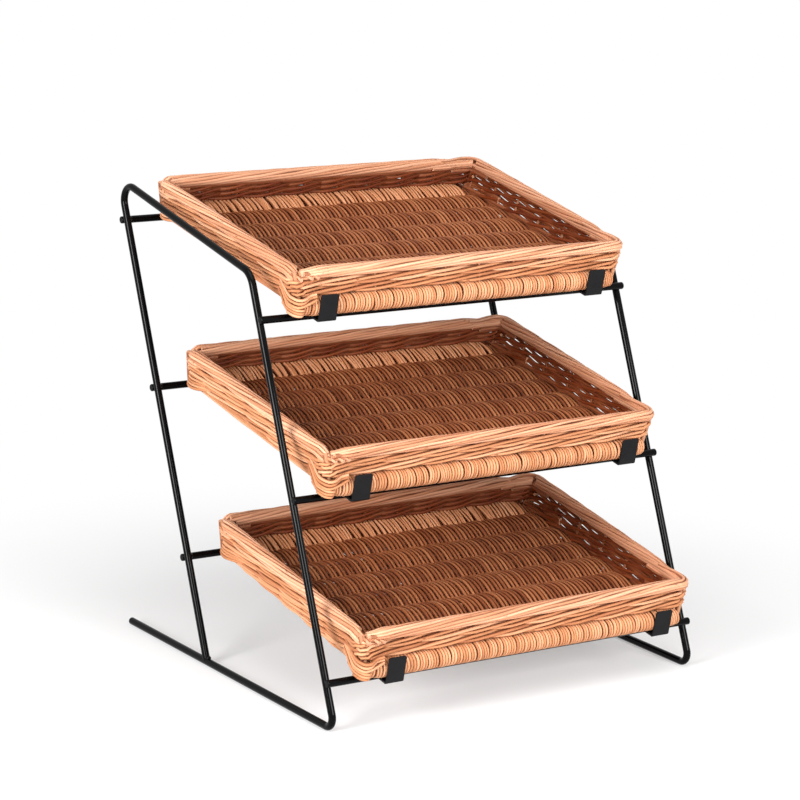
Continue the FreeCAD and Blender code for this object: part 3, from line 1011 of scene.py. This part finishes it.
# %% [markdown]
# ## Weave the three baskets
# Every basket is woven anew, so no two are alike, and each piece rides with its basket when
# that is lifted off the bars.
# %% Baskets
for tier, name in enumerate(tiers):
    stakes, posts = side_stakes()
    wall = siding(tier)
    corner_wraps(wall)
    jobs = (
        ("sticks", base_sticks(), "sticks", stick_willow, "willow_sticks"),
        ("floor", floor_weave(), "base_weave", shaded_floor_willow, "willow"),
        ("rolls", rolls(), "base_weave", body_willow, "willow"),
        ("stakes", stakes, "side_stakes", body_willow, "willow_sticks"),
        ("posts", posts, "corner_posts", body_willow, "willow_sticks"),
        ("siding", wall, "siding", body_willow, "willow"),
        ("rim", border(), "border", lit_rim_willow, "willow_rim"),
    )
    for job, bundle, node, finish, slot in jobs:
        piece = bundle.make(f"{name}_basket_{job}", tier, finish)
        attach(piece, f"basket_{name}")
        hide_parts(f"basket_{name}_{node}")

# %% [markdown]
# ## Studio
# The rack stands on a plain white sweep. Big soft lamps light it from the front, from above and
# from the left, and the surroundings are white wherever the camera or a reflection sees them.
# %% Floor
paper_white, paper_rough, paper_sheen = (0.9, 0.9, 0.9, 1), 0.9, 0.1
white = (1, 1, 1, 1)
sweep_fade = (0.25, 0.75, 0.35, 1.0)  # from and to, in metres from the rack; share of white there
floor_corners = [(-6, -6, 0), (6, -6, 0), (6, 8, 0), (-6, 8, 0)]


def seen_directly(tree):
    """One where the camera, a reflection or a view through glass looks; nought for lighting."""
    rays = tree.nodes.new("ShaderNodeLightPath").outputs
    seen = math_node(tree, "MAXIMUM", rays["Is Camera Ray"], rays["Is Glossy Ray"])
    return math_node(tree, "MAXIMUM", seen, rays["Is Transmission Ray"])


floor_mesh = bpy.data.meshes.new("studio_floor")
floor_mesh.from_pydata(floor_corners, [], [(0, 1, 2, 3)])
studio_floor = bpy.data.objects.new("studio_floor", floor_mesh)
bpy.context.scene.collection.objects.link(studio_floor)
paper, tree, shader = new_material("white_paper")
shader.inputs["Base Color"].default_value = paper_white
shader.inputs["Roughness"].default_value = paper_rough
shader.inputs["Specular IOR Level"].default_value = paper_sheen
glow = tree.nodes.new("ShaderNodeEmission")
glow.inputs["Color"].default_value = white
seen = seen_directly(tree)
place = tree.nodes.new("ShaderNodeNewGeometry").outputs["Position"]
from_rack = tree.nodes.new("ShaderNodeVectorMath")
from_rack.operation = "LENGTH"
tree.links.new(place, from_rack.inputs[0])
fade = tree.nodes.new("ShaderNodeMapRange")
fade.interpolation_type = "SMOOTHSTEP"
for socket, value in zip(fade.inputs[1:5], sweep_fade):
    socket.default_value = value
tree.links.new(from_rack.outputs["Value"], fade.inputs[0])
share = math_node(tree, "MULTIPLY", seen, fade.outputs[0])
sweep = tree.nodes.new("ShaderNodeMixShader")
tree.links.new(share, sweep.inputs[0])
tree.links.new(shader.outputs[0], sweep.inputs[1])
tree.links.new(glow.outputs[0], sweep.inputs[2])
tree.links.new(sweep.outputs[0], tree.nodes["Material Output"].inputs[0])
floor_mesh.materials.append(paper)
print("floor fades to white between", sweep_fade[:2], "m")

# %% World
light_strength, seen_strength = 0.29, 1.0
world = bpy.data.worlds.new("studio")
bpy.context.scene.world = world
world.use_nodes = True
tree = world.node_tree
background = tree.nodes["Background"]
seen = seen_directly(tree)
strength = tree.nodes.new("ShaderNodeMix")
strength.inputs[2].default_value = light_strength
strength.inputs[3].default_value = seen_strength
tree.links.new(seen, strength.inputs[0])
tree.links.new(strength.outputs[0], background.inputs["Strength"])
background.inputs["Color"].default_value = white
print("world lights with strength", light_strength)


# %% Lamps
def lamp(name, place, target, size, power):
    """Soft rectangular lamp of a width and height in metres, aimed at a point of the rack."""
    data = bpy.data.lights.new(name, "AREA")
    data.shape = "RECTANGLE"
    data.size, data.size_y = size
    data.energy = power
    obj = bpy.data.objects.new(name, data)
    obj.location = place
    aim = Vector(target) - Vector(place)
    obj.rotation_euler = aim.to_track_quat("-Z", "Y").to_euler()
    bpy.context.scene.collection.objects.link(obj)
    print(f"{name}: {power} W from {aim.length:.1f} m")


lamp("front_softbox", (0.3, -2.6, 1.2), (0, 0, 0.25), (1.2, 0.9), 66)
lamp("top_softbox", (-0.3, -0.6, 2.2), (0, 0, 0.2), (1.4, 1.4), 20)
lamp("left_softbox", (-2.4, -0.8, 1.0), (0, 0, 0.25), (1.0, 1.0), 86)

# %% [markdown]
# ## Camera
# The camera looks down a little from the front left, from a little over three metres, with a
# long lens that keeps the uprights nearly parallel.
# %% Camera
camera_place = (-1.824825, -2.66189, 1.017745)
pitch, roll, yaw = -0.22557501, -0.03471285, -0.59720823
camera_data = bpy.data.cameras.new("camera")
camera_data.sensor_width = 36.0
camera_data.lens = 136.797
camera_data.clip_end = 30.0
camera = bpy.data.objects.new("camera", camera_data)
turn = Matrix.Rotation(yaw, 4, "Z") @ Matrix.Rotation(pitch, 4, "X") @ Matrix.Rotation(roll, 4, "Y")
look_level = Matrix.Rotation(quarter, 4, "X")
camera.matrix_world = Matrix.Translation(camera_place) @ turn @ look_level
bpy.context.scene.collection.objects.link(camera)
bpy.context.scene.camera = camera
bpy.context.scene.view_settings.view_transform = "Standard"
print("camera to the rack's middle, m", round(Vector(camera_place).length, 2))
